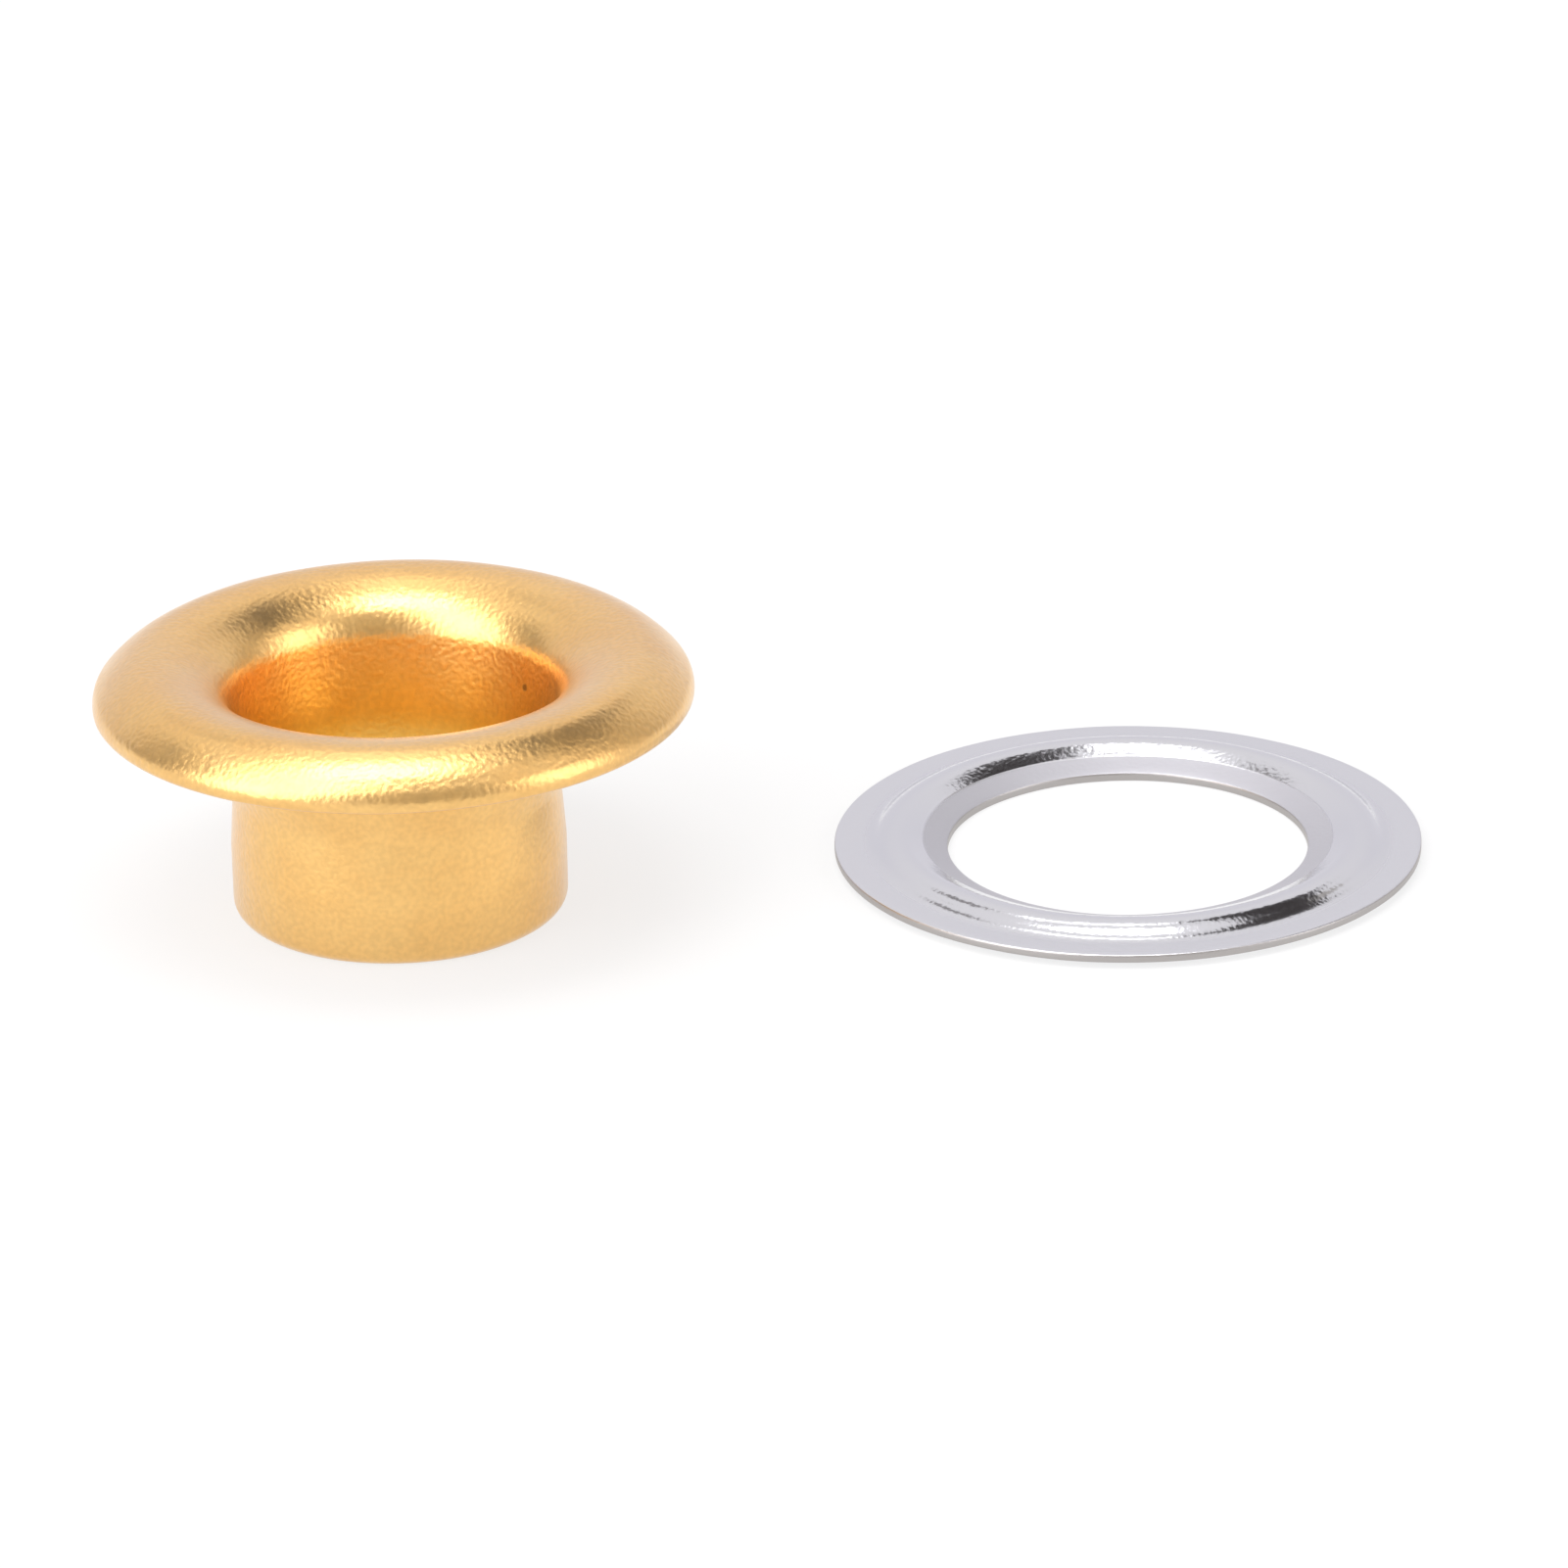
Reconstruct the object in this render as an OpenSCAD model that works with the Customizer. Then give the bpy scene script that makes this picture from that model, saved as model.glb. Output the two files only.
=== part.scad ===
// Two-piece grommet eyelet: a drawn eyelet that stands on the foot of its barrel, crown up,
// and the pressed washer that its barrel is set over, lying beside it on the same surface.
// Millimetres, +Z up. The origin is on the eyelet's axis, at the level that both pieces stand on.

/* [Eyelet barrel] */
// Height of the eyelet, from the foot of its barrel to the top of its crown
eyelet_h = 5.4; // [4.7:0.1:9]
// Diameter of the hole through the barrel
bore_d = 6; // [5:0.1:7.8]
// Thickness of the barrel's wall
barrel_wall = 0.36; // [0.34:0.01:0.6]
// Height of the straight part of the barrel, from the foot up
barrel_straight_h = 1.4; // [0.6:0.1:2.2]
// Height over which the wall thins above it, towards the neck
neck_taper_h = 1.2; // [0.4:0.1:2]
// Radius of the rounded outer edge of the foot
foot_r = 0.29; // [0.1:0.01:0.33]

/* [Eyelet flange] */
// Outer diameter of the flange
flange_d = 12; // [9.4:0.1:13.4]
// Thickness of the sheet in the neck and the flange
sheet = 0.28; // [0.24:0.01:0.34]
// Distance from the flange's rim in to the circle on which the crown is highest
crown_inset = 1.15; // [0.9:0.05:1.6]
// Radius of the bend on the outer side of the crown
crown_bend = 1; // [0.5:0.05:1.4]
// Angle of the outer slope, in degrees: 0 would be upright and 90 level
slope_a = 48; // [36:1:60]
// Radius of the bend where the slope turns down into the skirt
shoulder_bend = 0.45; // [0.35:0.05:0.7]
// Height of the upright skirt below that bend
skirt_h = 0.12; // [0.12:0.01:0.6]
// Radius of the tumbled corners of the skirt's cut edge
edge_r = 0.11; // [0.03:0.01:0.12]

/* [Washer] */
// Diameter of the washer's hole
hole_d = 7.3; // [6:0.1:9]
// Width of the washer's sheet from the hole to the rim
washer_w = 2.3; // [1.9:0.05:3.5]
// Thickness of the washer's sheet
washer_sheet = 0.17; // [0.15:0.01:0.2]
// Width of the flat outer ring
flat_w = 0.54; // [0.3:0.02:0.7]
// Radius of the hollow between the flat ring and the raised ring
hollow_bend = 0.55; // [0.25:0.05:0.8]
// Steepest angle of the raised ring's outer side, in degrees
rise_a = 38; // [24:1:42]
// Angle at which the raised ring falls towards the hole, in degrees
fall_a = 21; // [14:1:26]
// Width of that straight fall, down to the step that the punch leaves above the lip
fall_w = 0.32; // [0.2:0.01:0.5]
// Height of the step
step_h = 0.02; // [0.01:0.005:0.03]
// Width of the inner lip, from the step to the hole
lip_w = 0.5; // [0.3:0.05:0.65]
// Angle at which the inner lip falls towards the hole, in degrees
lip_a = 20; // [16:1:26]

/* [Set] */
// Clear distance between the two pieces, rim to rim
piece_gap = 2.85; // [0.5:0.05:10]

/* [Hidden] */
// Sides of a whole turn, and the longest step and turn between two points of a bend in section
$fn = 96;
bend_step = 0.14;
bend_turn = 15;
// Points closer than this are one point of an outline
same_point = 0.0001;
gold = "#e9b25a";
nickel = "#cfcfd6";

// Eyelet: the bends of its section, outwards from the bore
bore_r = bore_d / 2;
flange_r = flange_d / 2;
crown_r = flange_r - crown_inset;
funnel_bend = crown_r - bore_r;
funnel_at = [crown_r, eyelet_h - funnel_bend];
crown_at = [crown_r, eyelet_h - crown_bend];
slope_top = crown_at + crown_bend * [cos(slope_a), sin(slope_a)];
shoulder_r = flange_r - shoulder_bend;
slope_w = shoulder_r + shoulder_bend * cos(slope_a) - slope_top[0];
shoulder_at = [shoulder_r, slope_top[1] - slope_w / tan(slope_a) - shoulder_bend * sin(slope_a)];
edge_z = shoulder_at[1] - skirt_h + edge_r;

// Washer: the bends of its section, outwards from the hole, where the lip rests on the ground
hole_r = hole_d / 2;
washer_r = hole_r + washer_w;
washer_x = flange_r + piece_gap + washer_r;
lip_z = washer_sheet / cos(lip_a);
step_foot = [hole_r + lip_w, lip_z + lip_w * tan(lip_a)];
step_top = step_foot + [0, step_h];
ring_w = washer_w - flat_w - lip_w - fall_w - hollow_bend * sin(rise_a);
ring_bend = ring_w / (sin(rise_a) + sin(fall_a));
fall_top = step_top + fall_w * [1, tan(fall_a)];
ring_at = fall_top + ring_bend * [sin(fall_a), -cos(fall_a)];
hollow_at = ring_at + (ring_bend + hollow_bend) * [sin(rise_a), cos(rise_a)];
flat_z = hollow_at[1] - hollow_bend;

// Points of an arc around a centre, from one angle to another
function arc(centre, r, from, to) =
    let (turn = abs(to - from), steps = ceil(max(turn / bend_turn, r * turn * PI / 180 / bend_step)))
    [for (i = [0:steps]) let (a = from + (to - from) * i / steps) centre + r * [cos(a), sin(a)]];

// An outline without the points that repeat the one before
function outline(points) =
    [for (i = [0:len(points) - 1])
        if (i == 0 || norm(points[i] - points[max(i - 1, 0)]) > same_point) points[i]];

// Drawn eyelet: from the bore around the foot, up the outside, along the underside of the
// flange to the skirt's edge, and back over the crown and down the funnel
module eyelet() {
    color(gold) rotate_extrude() polygon(outline(concat(
        [[bore_r, 0]],
        arc([bore_r + barrel_wall - foot_r, foot_r], foot_r, -90, 0),
        [[bore_r + barrel_wall, barrel_straight_h]],
        [[bore_r + sheet, barrel_straight_h + neck_taper_h]],
        arc(funnel_at, funnel_bend - sheet, 180, 90),
        arc(crown_at, crown_bend - sheet, 90, slope_a),
        arc(shoulder_at, shoulder_bend - sheet, slope_a, 0),
        arc([flange_r - sheet + edge_r, edge_z], edge_r, 180, 270),
        arc([flange_r - edge_r, edge_z], edge_r, 270, 360),
        arc(shoulder_at, shoulder_bend, 0, slope_a),
        arc(crown_at, crown_bend, slope_a, 90),
        arc(funnel_at, funnel_bend, 90, 180))));
}

// Pressed washer: outwards along its underside, and back over its upper face to the hole
module washer() {
    translate([washer_x, 0, 0]) color(nickel) rotate_extrude() polygon(outline(concat(
        [[hole_r, 0]],
        arc(ring_at, ring_bend - washer_sheet, 90 + fall_a, 90 - rise_a),
        arc(hollow_at, hollow_bend + washer_sheet, 270 - rise_a, 270),
        [[washer_r, flat_z - washer_sheet], [washer_r, flat_z]],
        arc(hollow_at, hollow_bend, 270, 270 - rise_a),
        arc(ring_at, ring_bend, 90 - rise_a, 90 + fall_a),
        [step_top, step_foot, [hole_r, lip_z]])));
}

eyelet();
washer();
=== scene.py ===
from math import ceil, cos, pi, radians, sin, tan

import bmesh
import bpy
from mathutils import Matrix, Vector


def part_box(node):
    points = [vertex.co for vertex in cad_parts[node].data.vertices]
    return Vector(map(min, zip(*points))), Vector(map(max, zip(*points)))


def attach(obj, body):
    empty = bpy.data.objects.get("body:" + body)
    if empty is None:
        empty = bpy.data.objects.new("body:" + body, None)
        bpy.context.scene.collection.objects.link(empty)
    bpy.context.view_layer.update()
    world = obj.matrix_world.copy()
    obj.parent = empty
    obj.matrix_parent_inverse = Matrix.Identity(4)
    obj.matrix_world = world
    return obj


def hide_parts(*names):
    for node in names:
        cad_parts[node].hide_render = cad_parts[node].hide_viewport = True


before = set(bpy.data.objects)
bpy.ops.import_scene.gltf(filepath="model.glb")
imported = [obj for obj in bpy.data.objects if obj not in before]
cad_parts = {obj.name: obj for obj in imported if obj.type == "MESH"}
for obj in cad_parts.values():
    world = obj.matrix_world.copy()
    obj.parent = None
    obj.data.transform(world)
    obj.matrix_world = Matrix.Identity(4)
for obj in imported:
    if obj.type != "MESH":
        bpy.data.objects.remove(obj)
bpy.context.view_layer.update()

# A drawn brass eyelet and the pressed washer that backs it, standing side by side on a white sweep.
# Both are turned shapes: each is one section of its sheet, carried round its axis.

MM = 0.001

# Sizes in millimetres, as in the part's source. The outer ones are read from the frame.

eyelet_high = Vector(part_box("eyelet")[1]) / MM
washer_low, washer_high = (Vector(corner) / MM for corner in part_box("washer"))

eyelet_h = eyelet_high.z
flange_r = eyelet_high.x
bore_r = 3.0
barrel_wall = 0.36
barrel_straight_h = 1.4
neck_taper_h = 1.2
foot_r = 0.29
sheet = 0.28
crown_inset = 1.15
crown_bend = 1.0
slope_a = 48
shoulder_bend = 0.45
skirt_h = 0.12
edge_r = 0.11

washer_x = (washer_low.x + washer_high.x) / 2
washer_r = (washer_high.x - washer_low.x) / 2
hole_r = 3.65
washer_sheet = 0.17
flat_w = 0.54
hollow_bend = 0.55
rise_a = 38
fall_a = 21
fall_w = 0.32
step_h = 0.02
lip_w = 0.5
lip_a = 20

# Finer shape of the eyelet's bends, as the press leaves them. The crown swells a little where the outer slope
# begins, which leaves the slope steeper by a few degrees, and the funnel tightens into a throat that still
# narrows slightly. Angles are in degrees, and each ease is the length worn off a corner of the section.
swell_a, swell_bend, swell_steepens = 62, 1.9, 3
funnel_turn, throat_a, throat_bend = 133, 170, 1.0
throat_ease_in, throat_ease_out = 0.5, 0.1

# Worn corners of the section: the foot's inner edge, the washer's sheared edges and its punched step.
bore_round = 0.06
shear_round = 0.045
step_round = 0.008

# Fineness of the drawn surfaces.
arc_step = 0.055
flat_step = 0.16
fewest_steps = 3
corner_steps = 4
same_point = 0.0001
sides = 320


# Sections of the two sheets.

def turned(angle):
    """The direction at an angle in the section's plane, in degrees."""
    return Vector((cos(radians(angle)), sin(radians(angle))))


def arc(centre, radius, start, end):
    """Points of an arc in the section, from one angle to the other."""
    steps = max(fewest_steps, ceil(radius * radians(abs(end - start)) / arc_step))
    return [centre + radius * turned(start + (end - start) * i / steps) for i in range(steps + 1)]


def eased(before, corner, after, radius):
    """A sharp corner of the section with its tip worn to a small round."""
    start = corner + (before - corner).normalized() * radius
    end = corner + (after - corner).normalized() * radius
    shares = [i / corner_steps for i in range(corner_steps + 1)]
    return [start.lerp(corner, share).lerp(corner.lerp(end, share), share) for share in shares]


def divided(points):
    """The closed section without doubled points and with its long flats cut into short ones."""
    kept = [p for p, before in zip(points, points[-1:] + points[:-1]) if (p - before).length > same_point]
    fine = []
    for start, end in zip(kept, kept[1:] + kept[:1]):
        cuts = ceil((end - start).length / flat_step)
        fine += [start.lerp(end, i / cuts) for i in range(cuts)]
    return fine


def eyelet_section():
    """Section of the eyelet: up the outside from the foot, round the flange's edge and down the bore."""
    crown_r = flange_r - crown_inset
    funnel_bend = crown_r - bore_r
    funnel_at = Vector((crown_r, eyelet_h - funnel_bend))
    crown_at = Vector((crown_r, eyelet_h - crown_bend))
    slope_top = crown_at + crown_bend * turned(slope_a)
    shoulder_r = flange_r - shoulder_bend
    slope_w = shoulder_r + shoulder_bend * cos(radians(slope_a)) - slope_top.x
    slope_h = slope_w / tan(radians(slope_a)) + shoulder_bend * sin(radians(slope_a))
    edge_z = slope_top.y - slope_h - skirt_h + edge_r
    swell_at = crown_at - (swell_bend - crown_bend) * turned(swell_a)
    low_a = slope_a - swell_steepens
    swell_end = swell_at + swell_bend * turned(low_a)
    low_w = shoulder_r + shoulder_bend * cos(radians(low_a)) - swell_end.x
    low_h = low_w / tan(radians(low_a)) + shoulder_bend * sin(radians(low_a))
    shoulder_at = Vector((shoulder_r, swell_end.y - low_h))
    throat_at = funnel_at + (funnel_bend - throat_bend) * turned(funnel_turn)

    def throat(thick, ease):
        """The funnel's bends and its throat, at a depth in the sheet, from the crown down to the barrel."""
        bend_end = throat_at + (throat_bend - thick) * turned(throat_a)
        wall = bore_r + thick
        low = Vector((wall, bend_end.y - (bend_end.x - wall) / tan(radians(180 - throat_a))))
        return (arc(funnel_at, funnel_bend - thick, 90, funnel_turn)
                + arc(throat_at, throat_bend - thick, funnel_turn, throat_a)
                + eased(bend_end, low, low - Vector((0, 1)), ease))

    foot_corner = Vector((bore_r, 0))
    foot_at = Vector((bore_r + barrel_wall - foot_r, foot_r))
    points = eased(foot_corner + Vector((0, 1)), foot_corner, foot_corner + Vector((1, 0)), bore_round)
    points += arc(foot_at, foot_r, -90, 0)
    points += [Vector((bore_r + barrel_wall, barrel_straight_h))]
    points += [Vector((bore_r + sheet, barrel_straight_h + neck_taper_h))]
    points += throat(sheet, throat_ease_out)[::-1]
    points += arc(crown_at, crown_bend - sheet, 90, swell_a)
    points += arc(swell_at, swell_bend - sheet, swell_a, low_a)
    points += arc(shoulder_at, shoulder_bend - sheet, low_a, 0)
    points += arc(Vector((flange_r - sheet + edge_r, edge_z)), edge_r, 180, 270)
    points += arc(Vector((flange_r - edge_r, edge_z)), edge_r, 270, 360)
    points += arc(shoulder_at, shoulder_bend, 0, low_a)
    points += arc(swell_at, swell_bend, low_a, swell_a)
    points += arc(crown_at, crown_bend, swell_a, 90)
    points += throat(0, throat_ease_in)
    return divided(points)


def washer_section():
    """Section of the washer: out along its underside, up the sheared rim and back over the ring."""
    lip_z = washer_sheet / cos(radians(lip_a))
    hole_foot = Vector((hole_r, 0))
    hole_top = Vector((hole_r, lip_z))
    step_foot = Vector((hole_r + lip_w, lip_z + lip_w * tan(radians(lip_a))))
    step_top = step_foot + Vector((step_h, step_h))
    ring_w = washer_r - hole_r - flat_w - lip_w - fall_w - hollow_bend * sin(radians(rise_a))
    ring_bend = ring_w / (sin(radians(rise_a)) + sin(radians(fall_a)))
    fall_top = step_foot + Vector((0, step_h)) + fall_w * Vector((1, tan(radians(fall_a))))
    ring_at = fall_top - ring_bend * turned(90 + fall_a)
    hollow_at = ring_at + (ring_bend + hollow_bend) * turned(90 - rise_a)
    flat_z = hollow_at.y - hollow_bend
    rim_foot = Vector((washer_r, flat_z - washer_sheet))
    rim_top = Vector((washer_r, flat_z))
    under = arc(ring_at, ring_bend - washer_sheet, 90 + fall_a, 90 - rise_a)
    under += arc(hollow_at, hollow_bend + washer_sheet, 270 - rise_a, 270)
    upper = arc(hollow_at, hollow_bend, 270, 270 - rise_a)
    upper += arc(ring_at, ring_bend, 90 - rise_a, 90 + fall_a)
    upper += eased(upper[-1], step_top, step_foot, step_round)
    upper += eased(step_top, step_foot, hole_top, step_round)
    points = eased(hole_top, hole_foot, under[0], shear_round) + under
    points += eased(under[-1], rim_foot, rim_top, shear_round)
    points += eased(rim_foot, rim_top, upper[0], shear_round) + upper
    points += eased(upper[-1], hole_top, hole_foot, shear_round)
    return divided(points)


# Nodes and colours.

def linear(code, alpha=1.0):
    """A sRGB hex colour as linear values."""
    parts = [int(code[i:i + 2], 16) / 255 for i in (1, 3, 5)]
    return [v / 12.92 if v <= 0.04045 else ((v + 0.055) / 1.055) ** 2.4 for v in parts] + [alpha]


def node(tree, kind, links=None, **settings):
    """Adds a node. Its inputs, by name or number, take a value, a socket or another node's first output, and
    the settings go to the node itself. A map range takes its value at 0, the range that comes in at 1 and 2,
    and the one that goes out at 3 and 4. A colour mix takes its colours at 6 and 7, and gives the result
    at 2."""
    made = tree.nodes.new(kind)
    for name, value in settings.items():
        setattr(made, name, value)
    for name, value in (links or {}).items():
        if isinstance(value, bpy.types.Node):
            value = value.outputs[0]
        if isinstance(value, bpy.types.NodeSocket):
            tree.links.new(value, made.inputs[name])
        else:
            made.inputs[name].default_value = value
    return made


def per_mm(spacing):
    """A texture's scale on coordinates in metres, for a pattern this many millimetres across."""
    return 1 / (spacing * MM)


def blank_material(name):
    """A material without nodes yet, and its tree."""
    material = bpy.data.materials.new(name)
    material.use_nodes = True
    material.node_tree.nodes.clear()
    return material, material.node_tree


def about_axis(tree, place):
    """The flat place of a point, its distance from the upright axis, and its height."""
    axes = node(tree, "ShaderNodeSeparateXYZ", {0: place})
    flat = node(tree, "ShaderNodeCombineXYZ", {0: axes.outputs[0], 1: axes.outputs[1]}).outputs[0]
    distance = node(tree, "ShaderNodeVectorMath", {0: flat}, operation="LENGTH").outputs["Value"]
    return flat, distance, axes.outputs[2]


# Materials. Spacings, depths, radii and heights in them are in millimetres.

def gold_brass():
    """Yellow-gold plated brass, drawn to shape and tumbled. Tumbling leaves a soft satin skin with a fine
    pebble, and the drawing of the bell mouth leaves short wrinkles that run down into the bore."""
    material, tree = blank_material("tumbled_gold_on_drawn_brass")
    place = node(tree, "ShaderNodeTexCoord").outputs["Object"]
    flat, radius, height = about_axis(tree, place)

    # Pebble of the tumbled skin. Its real grain is about 0.05 mm, and it is drawn coarser so that it shows.
    pebble_spacing, pebble_depth = 0.1, 0.009
    pebble = node(tree, "ShaderNodeTexNoise", {"Vector": place, "Scale": per_mm(pebble_spacing),
                                               "Detail": 0.6, "Roughness": 0.5})
    # The punch burnishes the bore, which leaves its pebble lower. The bore's plating is also painted yellower
    # and brighter: a painted glow that stands in for the light bounced round inside the bore.
    burnish_and_glow_start, burnish_and_glow_full, pebble_left = 3.25, 3.02, 0.45
    bore = node(tree, "ShaderNodeMapRange", {0: radius, 1: burnish_and_glow_start * MM, 2: burnish_and_glow_full * MM})
    pebble_share = node(tree, "ShaderNodeMapRange", {0: bore, 3: 1.0, 4: pebble_left})
    pebble_bump = node(tree, "ShaderNodeBump", {"Height": pebble, "Strength": pebble_share,
                                                "Distance": pebble_depth * MM})

    # Soft unevenness of the sheet under the pebble.
    ripple_spacing, ripple_depth = 0.55, 0.002
    ripple = node(tree, "ShaderNodeTexNoise", {"Vector": place, "Scale": per_mm(ripple_spacing),
                                               "Detail": 2.0, "Roughness": 0.5})
    ripple_bump = node(tree, "ShaderNodeBump", {"Height": ripple, "Strength": 1.0,
                                                "Distance": ripple_depth * MM, "Normal": pebble_bump})

    # Wrinkles of the drawn bell mouth, close together round the axis and long down the bore.
    wrinkle_spacing, wrinkle_r, wrinkle_run, wrinkle_depth = 0.17, 4.0, 40.0, 0.006
    mouth_low, mouth_high = 3.2, 4.3
    mouth_wide, mouth_narrow = 4.4, 3.6
    round_axis = node(tree, "ShaderNodeVectorMath", {0: flat}, operation="NORMALIZE")
    down = node(tree, "ShaderNodeMath", {0: height, 1: per_mm(wrinkle_run)}, operation="MULTIPLY")
    down_only = node(tree, "ShaderNodeCombineXYZ", {2: down})
    wrinkle_place = node(tree, "ShaderNodeVectorMath", {0: round_axis, 1: down_only}, operation="ADD")
    wrinkle = node(tree, "ShaderNodeTexNoise", {"Vector": wrinkle_place, "Scale": wrinkle_r / wrinkle_spacing,
                                                "Detail": 1.5, "Roughness": 0.6})
    above_throat = node(tree, "ShaderNodeMapRange", {0: height, 1: mouth_low * MM, 2: mouth_high * MM})
    within_crown = node(tree, "ShaderNodeMapRange", {0: radius, 1: mouth_wide * MM, 2: mouth_narrow * MM})
    mouth = node(tree, "ShaderNodeMath", {0: above_throat, 1: within_crown}, operation="MULTIPLY")
    skin = node(tree, "ShaderNodeBump", {"Height": wrinkle, "Strength": mouth,
                                         "Distance": wrinkle_depth * MM, "Normal": ripple_bump})

    # The plating is a little thinner and browner in broad soft patches.
    patch_spacing = 2.2
    patch = node(tree, "ShaderNodeTexNoise", {"Vector": place, "Scale": per_mm(patch_spacing),
                                              "Detail": 3.0, "Roughness": 0.6})
    thin = node(tree, "ShaderNodeMapRange", {0: patch, 1: 0.35, 2: 0.7})
    plating = node(tree, "ShaderNodeMix", {0: thin, 6: linear("#F6C573"), 7: linear("#F0BB67")},
                   data_type="RGBA").outputs[2]
    # Painted glow: inside the bore the gold is painted yellower and brighter for the light bounced round in
    # it.
    colour = node(tree, "ShaderNodeMix", {0: bore, 6: plating, 7: linear("#FBD168")},
                  data_type="RGBA").outputs[2]

    # Painted shade: the pits of the pebble are painted a little darker and its tops a little lighter, and the
    # foot is painted darker, standing in for the floor's shadow that it reflects near where it stands.
    pit_shade, top_shade = 0.93, 1.035
    foot_shade_height, foot_shade = 1.1, 0.9
    pits = node(tree, "ShaderNodeMapRange", {0: pebble, 1: 0.3, 2: 0.7, 3: pit_shade, 4: top_shade})
    painted_foot_shade = node(tree, "ShaderNodeMapRange", {0: height, 2: foot_shade_height * MM, 3: foot_shade})
    shade = node(tree, "ShaderNodeMath", {0: pits, 1: painted_foot_shade}, operation="MULTIPLY")
    # One dark speck sits on the wall of the throat.
    speck_at = Vector((2.78, 1.59, 3.8))
    speck_core, speck_r, speck_shade = 0.05, 0.1, 0.45
    speck_away = node(tree, "ShaderNodeVectorMath", {0: place, 1: speck_at * MM}, operation="DISTANCE")
    speck = node(tree, "ShaderNodeMapRange", {0: speck_away.outputs["Value"], 1: speck_core * MM,
                                              2: speck_r * MM, 3: speck_shade})
    shade = node(tree, "ShaderNodeMath", {0: shade, 1: speck}, operation="MULTIPLY")
    shaded = node(tree, "ShaderNodeVectorMath", {0: colour, "Scale": shade}, operation="SCALE")

    # Satin of the tumbled skin, under a clear lacquer that pales the rims.
    rough = node(tree, "ShaderNodeMapRange", {0: ripple, 1: 0.3, 2: 0.7, 3: 0.28, 4: 0.34})
    metal = node(tree, "ShaderNodeBsdfPrincipled", {
        "Base Color": shaded, "Metallic": 1.0, "Roughness": rough, "Normal": skin,
        "Coat Weight": 1.0, "Coat Roughness": 0.35, "Coat IOR": 1.58, "Coat Normal": skin})
    node(tree, "ShaderNodeOutputMaterial", {"Surface": metal})
    return material


def bright_nickel():
    """Bright nickel plate on pressed sheet steel. The rounded ring is almost a mirror, and the sheet's own
    rolling grain stays on the flat rim."""
    material, tree = blank_material("bright_nickel_on_pressed_steel")
    place = node(tree, "ShaderNodeTexCoord").outputs["Object"]
    centred = node(tree, "ShaderNodeMapping", {"Vector": place, "Location": (-washer_x * MM, 0, 0)})
    radius = about_axis(tree, centred)[1]

    # Rolling grain of the sheet, and the faint dents that the die leaves over it.
    grain_spacing, grain_depth = 0.09, 0.004
    dent_spacing, dent_depth = 0.5, 0.001
    grain = node(tree, "ShaderNodeTexNoise", {"Vector": centred, "Scale": per_mm(grain_spacing),
                                              "Detail": 0.5, "Roughness": 0.6})
    dent = node(tree, "ShaderNodeTexNoise", {"Vector": centred, "Scale": per_mm(dent_spacing),
                                             "Detail": 2.5, "Roughness": 0.55})
    grain_bump = node(tree, "ShaderNodeBump", {"Height": grain, "Strength": 1.0,
                                               "Distance": grain_depth * MM})
    skin = node(tree, "ShaderNodeBump", {"Height": dent, "Strength": 1.0,
                                         "Distance": dent_depth * MM, "Normal": grain_bump})

    # The die polishes only the ring. The lip and the flat rim keep the sheet's satin, and the lip is duller.
    ring_rough, lip_rough, rim_adds = 0.14, 0.6, 0.2
    lip_r, lip_blend = hole_r + lip_w, 0.03
    rim_r, rim_blend_in, rim_blend_out = washer_r - flat_w, 0.3, 0.1
    lip_satin = node(tree, "ShaderNodeMapRange", {
        0: radius, 1: (lip_r + lip_blend) * MM, 2: (lip_r - lip_blend) * MM, 3: ring_rough, 4: lip_rough},
        interpolation_type="SMOOTHSTEP")
    rim_satin = node(tree, "ShaderNodeMapRange", {
        0: radius, 1: (rim_r - rim_blend_in) * MM, 2: (rim_r + rim_blend_out) * MM, 4: rim_adds},
        interpolation_type="SMOOTHSTEP")
    rough = node(tree, "ShaderNodeMath", {0: lip_satin, 1: rim_satin}, operation="ADD")
    # The lip is also painted a darker grey: painted shade for the dimmer light it reflects.
    lip_painted_shade = node(tree, "ShaderNodeMapRange", {0: lip_satin, 1: ring_rough, 2: lip_rough})
    colour = node(tree, "ShaderNodeMix", {0: lip_painted_shade, 6: linear("#DCDCE0"), 7: linear("#C6C5CA")},
                  data_type="RGBA").outputs[2]
    metal = node(tree, "ShaderNodeBsdfPrincipled", {"Base Color": colour, "Metallic": 1.0,
                                                    "Roughness": rough, "Normal": skin})
    node(tree, "ShaderNodeOutputMaterial", {"Surface": metal})
    return material


def sheared_edge():
    """The washer's sheared edges. The cut tears the steel and thins the plating, so they are dull and warm
    grey."""
    material, tree = blank_material("sheared_steel_edge")
    place = node(tree, "ShaderNodeTexCoord").outputs["Object"]
    tear_spacing, tear_depth = 0.12, 0.006
    tear = node(tree, "ShaderNodeTexNoise", {"Vector": place, "Scale": per_mm(tear_spacing),
                                             "Detail": 3.0, "Roughness": 0.6})
    bump = node(tree, "ShaderNodeBump", {"Height": tear, "Strength": 1.0, "Distance": tear_depth * MM})
    metal = node(tree, "ShaderNodeBsdfPrincipled", {"Base Color": linear("#B4B0AE"), "Metallic": 1.0,
                                                    "Roughness": 0.42, "Normal": bump})
    node(tree, "ShaderNodeOutputMaterial", {"Surface": metal})
    return material


# Turned pieces.

# A face is a cut one where more than this share of its points is marked as sheared.
cut_share = 0.6


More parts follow.
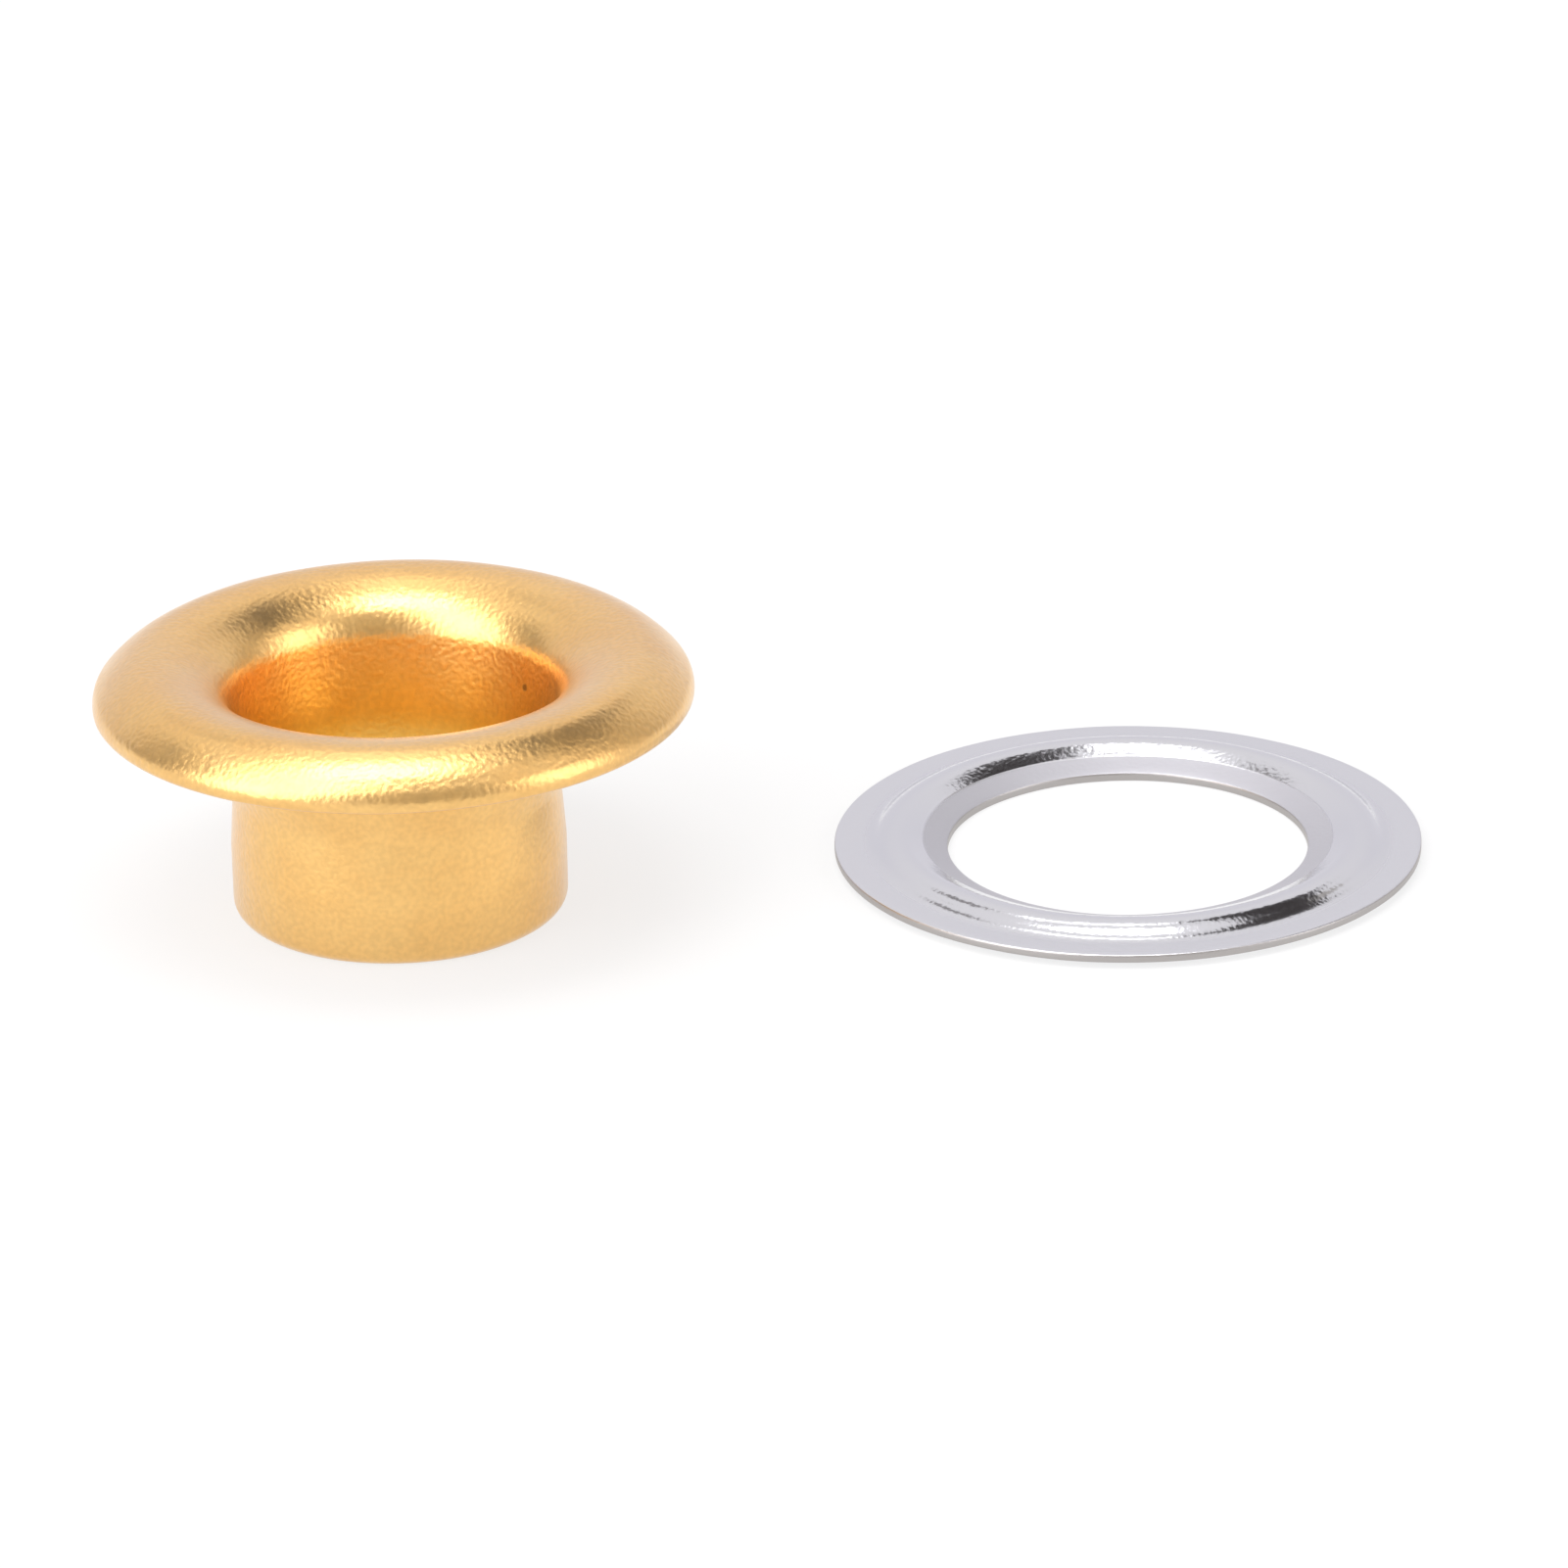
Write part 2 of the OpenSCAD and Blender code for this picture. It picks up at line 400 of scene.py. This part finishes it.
def turned_ring_tree():
    """Geometry Nodes that carry a closed section round an upright axis, and leave a press's small unevenness
    in it."""
    tree = bpy.data.node_groups.new("turned_ring", "GeometryNodeTree")
    asked = (("Section", "Geometry"), ("Guide Radius", "Float"), ("Sides", "Int"), ("Axis Place", "Vector"),
             ("Unevenness", "Float"), ("Uneven Spacing", "Float"), ("Seed", "Float"),
             ("Skin", "Material"), ("Cut Edge", "Material"))
    for name, kind in asked:
        tree.interface.new_socket(name, in_out="INPUT", socket_type="NodeSocket" + kind)
    tree.interface.new_socket("Ring", in_out="OUTPUT", socket_type="NodeSocketGeometry")
    given = node(tree, "NodeGroupInput").outputs

    # The section is drawn upright, radius along X and height along Z, and laid flat on the guide circle here.
    inward = node(tree, "ShaderNodeVectorMath", {0: (-1, 0, 0), "Scale": given["Guide Radius"]},
                  operation="SCALE")
    laid = node(tree, "GeometryNodeTransform", {"Geometry": given["Section"], "Translation": inward,
                                                "Rotation": (pi / 2, 0, 0)})
    section = node(tree, "GeometryNodeMeshToCurve", {"Mesh": laid})
    guide = node(tree, "GeometryNodeCurvePrimitiveCircle", {"Resolution": given["Sides"],
                                                            "Radius": given["Guide Radius"]})
    upright_guide = node(tree, "GeometryNodeSetCurveNormal", {"Curve": guide}, mode="Z_UP")
    swept = node(tree, "GeometryNodeCurveToMesh", {"Curve": upright_guide, "Profile Curve": section})

    # The unevenness pushes each point a little way off, by a noise about zero.
    spot = node(tree, "GeometryNodeInputPosition")
    spacing = node(tree, "ShaderNodeMath", {0: 1.0, 1: given["Uneven Spacing"]}, operation="DIVIDE")
    noise = node(tree, "ShaderNodeTexNoise", {"Vector": spot, "W": given["Seed"], "Scale": spacing,
                                              "Detail": 1.0}, noise_dimensions="4D")
    about_zero = node(tree, "ShaderNodeVectorMath", {0: noise.outputs["Color"], 1: (0.5, 0.5, 0.5)},
                      operation="SUBTRACT")
    shift = node(tree, "ShaderNodeVectorMath", {0: about_zero, "Scale": given["Unevenness"]},
                 operation="SCALE")
    pressed = node(tree, "GeometryNodeSetPosition", {"Geometry": swept, "Offset": shift})

    placed = node(tree, "GeometryNodeTransform", {"Geometry": pressed, "Translation": given["Axis Place"]})
    smooth = node(tree, "GeometryNodeSetShadeSmooth", {"Geometry": placed})
    real = node(tree, "GeometryNodeRealizeInstances", {"Geometry": smooth})
    skinned = node(tree, "GeometryNodeSetMaterial", {"Geometry": real, "Material": given["Skin"]})
    cut = node(tree, "GeometryNodeInputNamedAttribute", {"Name": "sheared"}, data_type="FLOAT")
    is_cut = node(tree, "FunctionNodeCompare", {0: cut, 1: cut_share}, data_type="FLOAT",
                  operation="GREATER_THAN")
    edged = node(tree, "GeometryNodeSetMaterial", {"Geometry": skinned, "Selection": is_cut,
                                                   "Material": given["Cut Edge"]})
    node(tree, "NodeGroupOutput", {0: edged})
    return tree


def turned_piece(name, section, is_sheared, tree, inputs):
    """A plain mesh from the turned ring tree, riding on the root body. is_sheared tells which points of the
    section lie on a cut edge."""
    drawn = bpy.data.meshes.new(name + "_section")
    drawn.from_pydata([(p.x * MM, 0, p.y * MM) for p in section],
                      [(i, (i + 1) % len(section)) for i in range(len(section))], [])
    marks = drawn.attributes.new("sheared", "FLOAT", "POINT")
    marks.data.foreach_set("value", [float(is_sheared(p)) for p in section])
    drawing = bpy.data.objects.new(name + "_section", drawn)
    bpy.context.collection.objects.link(drawing)
    modifier = drawing.modifiers.new("turned", "NODES")
    modifier.node_group = tree
    for item in tree.interface.items_tree:
        if item.in_out == "INPUT" and item.name in inputs:
            modifier[item.identifier] = inputs[item.name]
    solid = bpy.data.meshes.new_from_object(drawing.evaluated_get(bpy.context.evaluated_depsgraph_get()))
    bpy.data.objects.remove(drawing)

    bm = bmesh.new()
    bm.from_mesh(solid)
    bmesh.ops.recalc_face_normals(bm, faces=bm.faces)
    if bm.calc_volume(signed=True) < 0:
        bmesh.ops.reverse_faces(bm, faces=bm.faces)
    bm.to_mesh(solid)
    bm.free()
    solid.attributes.remove(solid.attributes["sheared"])
    solid.name = name
    piece = bpy.data.objects.new(name, solid)
    bpy.context.collection.objects.link(piece)
    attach(piece, "root")
    return piece


ring_tree = turned_ring_tree()
gold = gold_brass()
nickel = bright_nickel()
raw_edge = sheared_edge()

eyelet_shell = turned_piece("eyelet_shell", eyelet_section(), lambda p: False, ring_tree, {
    "Guide Radius": bore_r * MM, "Sides": sides, "Axis Place": (0.0, 0.0, 0.0),
    "Unevenness": 0.03 * MM, "Uneven Spacing": 3.0 * MM, "Seed": 4.0,
    "Skin": gold, "Cut Edge": gold})
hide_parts("eyelet")

# The washer's cut edges are the points of its section that lie this close to the hole or the rim.
edge_band = shear_round / 2
hole_end = hole_r + edge_band
rim_start = washer_r - edge_band

washer_plate = turned_piece("washer_plate", washer_section(),
                            lambda p: p.x < hole_end or p.x > rim_start, ring_tree, {
    "Guide Radius": hole_r * MM, "Sides": sides, "Axis Place": (washer_x * MM, 0.0, 0.0),
    "Unevenness": 0.03 * MM, "Uneven Spacing": 2.5 * MM, "Seed": 9.0,
    "Skin": nickel, "Cut Edge": raw_edge})
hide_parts("washer")


# Floor and studio. Sizes and distances are in metres.

unit_corners = ((-1, -1), (1, -1), (1, 1), (-1, 1))


def flat_card(name, half_width, half_height, material):
    """A flat rectangle in the plane of X and Y."""
    mesh = bpy.data.meshes.new(name)
    mesh.from_pydata([(x * half_width, y * half_height, 0) for x, y in unit_corners], [], [(0, 1, 2, 3)])
    mesh.materials.append(material)
    card = bpy.data.objects.new(name, mesh)
    bpy.context.collection.objects.link(card)
    return card


def white_sweep():
    """White card floor. For the camera, and in the metal, part of its white is even light, as in a product
    photo, so the object's shadow on it stays faint."""
    material, tree = blank_material("white_card_sweep")
    even_light = 0.74
    card = node(tree, "ShaderNodeBsdfDiffuse", {"Color": linear("#7E7E7E")})
    path = node(tree, "ShaderNodeLightPath").outputs
    seen = node(tree, "ShaderNodeMath", {0: path["Is Camera Ray"], 1: path["Is Glossy Ray"]},
                operation="MAXIMUM")
    seen = node(tree, "ShaderNodeMath", {0: seen, 1: path["Is Transmission Ray"]}, operation="MAXIMUM")
    glow = node(tree, "ShaderNodeMath", {0: seen, 1: even_light}, operation="MULTIPLY")
    light = node(tree, "ShaderNodeEmission", {"Color": linear("#FFFFFF"), "Strength": glow})
    both = node(tree, "ShaderNodeAddShader", {0: card, 1: light})
    node(tree, "ShaderNodeOutputMaterial", {"Surface": both})
    return material


floor_half = 1.5
flat_card("floor", floor_half, floor_half, white_sweep())


def toward(azimuth, elevation):
    """Unit direction from the object. Azimuth 0 is the front, and it grows towards the object's right."""
    a, e = radians(azimuth), radians(elevation)
    return Vector((sin(a) * cos(e), -cos(a) * cos(e), sin(e)))


def studio_room():
    """A light tent round the object: even and faintly lilac, a little whiter higher up."""
    world = bpy.data.worlds.new("light_tent")
    bpy.context.scene.world = world
    world.use_nodes = True
    tree = world.node_tree
    tree.nodes.clear()
    way = node(tree, "ShaderNodeTexCoord").outputs["Generated"]
    height = node(tree, "ShaderNodeSeparateXYZ", {0: way}).outputs[2]
    tent = node(tree, "ShaderNodeValToRGB", {0: height})
    for element, (place, code) in zip(tent.color_ramp.elements, ((0.3, "#EAE8EE"), (0.7, "#F6F4F6"))):
        element.position = place
        element.color = linear(code)
    glow = node(tree, "ShaderNodeBackground", {"Color": tent, "Strength": 1.0})
    node(tree, "ShaderNodeOutputWorld", {"Surface": glow})


def facing_object(azimuth, elevation, away):
    """Where a lamp or card hangs, with its face turned to the object."""
    place = toward(azimuth, elevation) * away
    return Matrix.Translation(place) @ place.to_track_quat("Z", "Y").to_matrix().to_4x4()


def softbox(name, stand, width, height, brightness):
    """A rectangular softbox. Brightness is what the camera would read in its face."""
    lamp = bpy.data.lights.new(name, "AREA")
    lamp.shape = "RECTANGLE"
    lamp.size, lamp.size_y = width, height
    lamp.energy = brightness * pi * width * height
    box = bpy.data.objects.new(name, lamp)
    bpy.context.collection.objects.link(box)
    box.matrix_world = stand


def felt_card(name, stand, width, height, code):
    """A grey card that hangs out of the picture and only shows as a darker band in the metal."""
    material, tree = blank_material(name + "_felt")
    felt = node(tree, "ShaderNodeEmission", {"Color": linear(code), "Strength": 1.0})
    node(tree, "ShaderNodeOutputMaterial", {"Surface": felt})
    card = flat_card(name, width / 2, height / 2, material)
    card.data.transform(stand)
    card.visible_camera = False


studio_room()
# The overhead box hangs flat above the object. Its shift and its size are shares of its height.
over = 0.45
over_left, over_front, over_wide, over_deep = 0.09 * over, 0.11 * over, 0.56 * over, 0.32 * over
over_stand = Matrix.Translation((-over_left, -over_front, over))
softbox("box_overhead", over_stand, over_wide, over_deep, brightness=5.8)
softbox("strip_behind", facing_object(178, 65, 0.6), 0.2, 0.08, brightness=1.5)
softbox("box_front_left", facing_object(-60, 34, 0.55), 0.4, 0.68, brightness=2.9)
softbox("box_right", facing_object(62, 20, 0.55), 0.28, 0.46, brightness=1.8)
card_away = 0.7
felt_card("card_front", facing_object(8, 33, card_away), 0.66, 1.0, "#BCB8B4")
felt_card("card_left", facing_object(-110, 25, card_away), 0.34, 0.6, "#A09C98")
felt_card("card_right", facing_object(108, 25, card_away), 0.26, 0.5, "#BCB8B4")
felt_card("card_right_behind", facing_object(122, 55, card_away), 0.42, 0.28, "#3E3A3A")
felt_card("card_left_behind", facing_object(-155, 50, card_away), 0.11, 0.13, "#8A8686")


# Camera.

# Found by matching both pieces' rims to the photograph: the angles, the distance and the lens.
camera_azimuth, camera_elevation, camera_roll = -7.07, 22.72, -1.13
camera_away = 0.18727
aim = Vector((7.80, 0, 1.98)) * MM
picture_px, focal_px = 1601, 9500

back = toward(camera_azimuth, camera_elevation)
level = Vector((0, 0, 1)).cross(back).normalized()
upward = back.cross(level)
roll = radians(camera_roll)
across = level * cos(roll) + upward * sin(roll)
upright = upward * cos(roll) - level * sin(roll)
facing = Matrix((across, upright, back)).transposed().to_4x4()

lens = bpy.data.cameras.new("camera")
lens.sensor_width = 36
lens.lens = focal_px / picture_px * lens.sensor_width
lens.clip_start, lens.clip_end = 0.01, 10
camera = bpy.data.objects.new("camera", lens)
bpy.context.collection.objects.link(camera)
camera.matrix_world = Matrix.Translation(aim + back * camera_away) @ facing
bpy.context.scene.camera = camera
bpy.context.scene.view_settings.view_transform = "Standard"
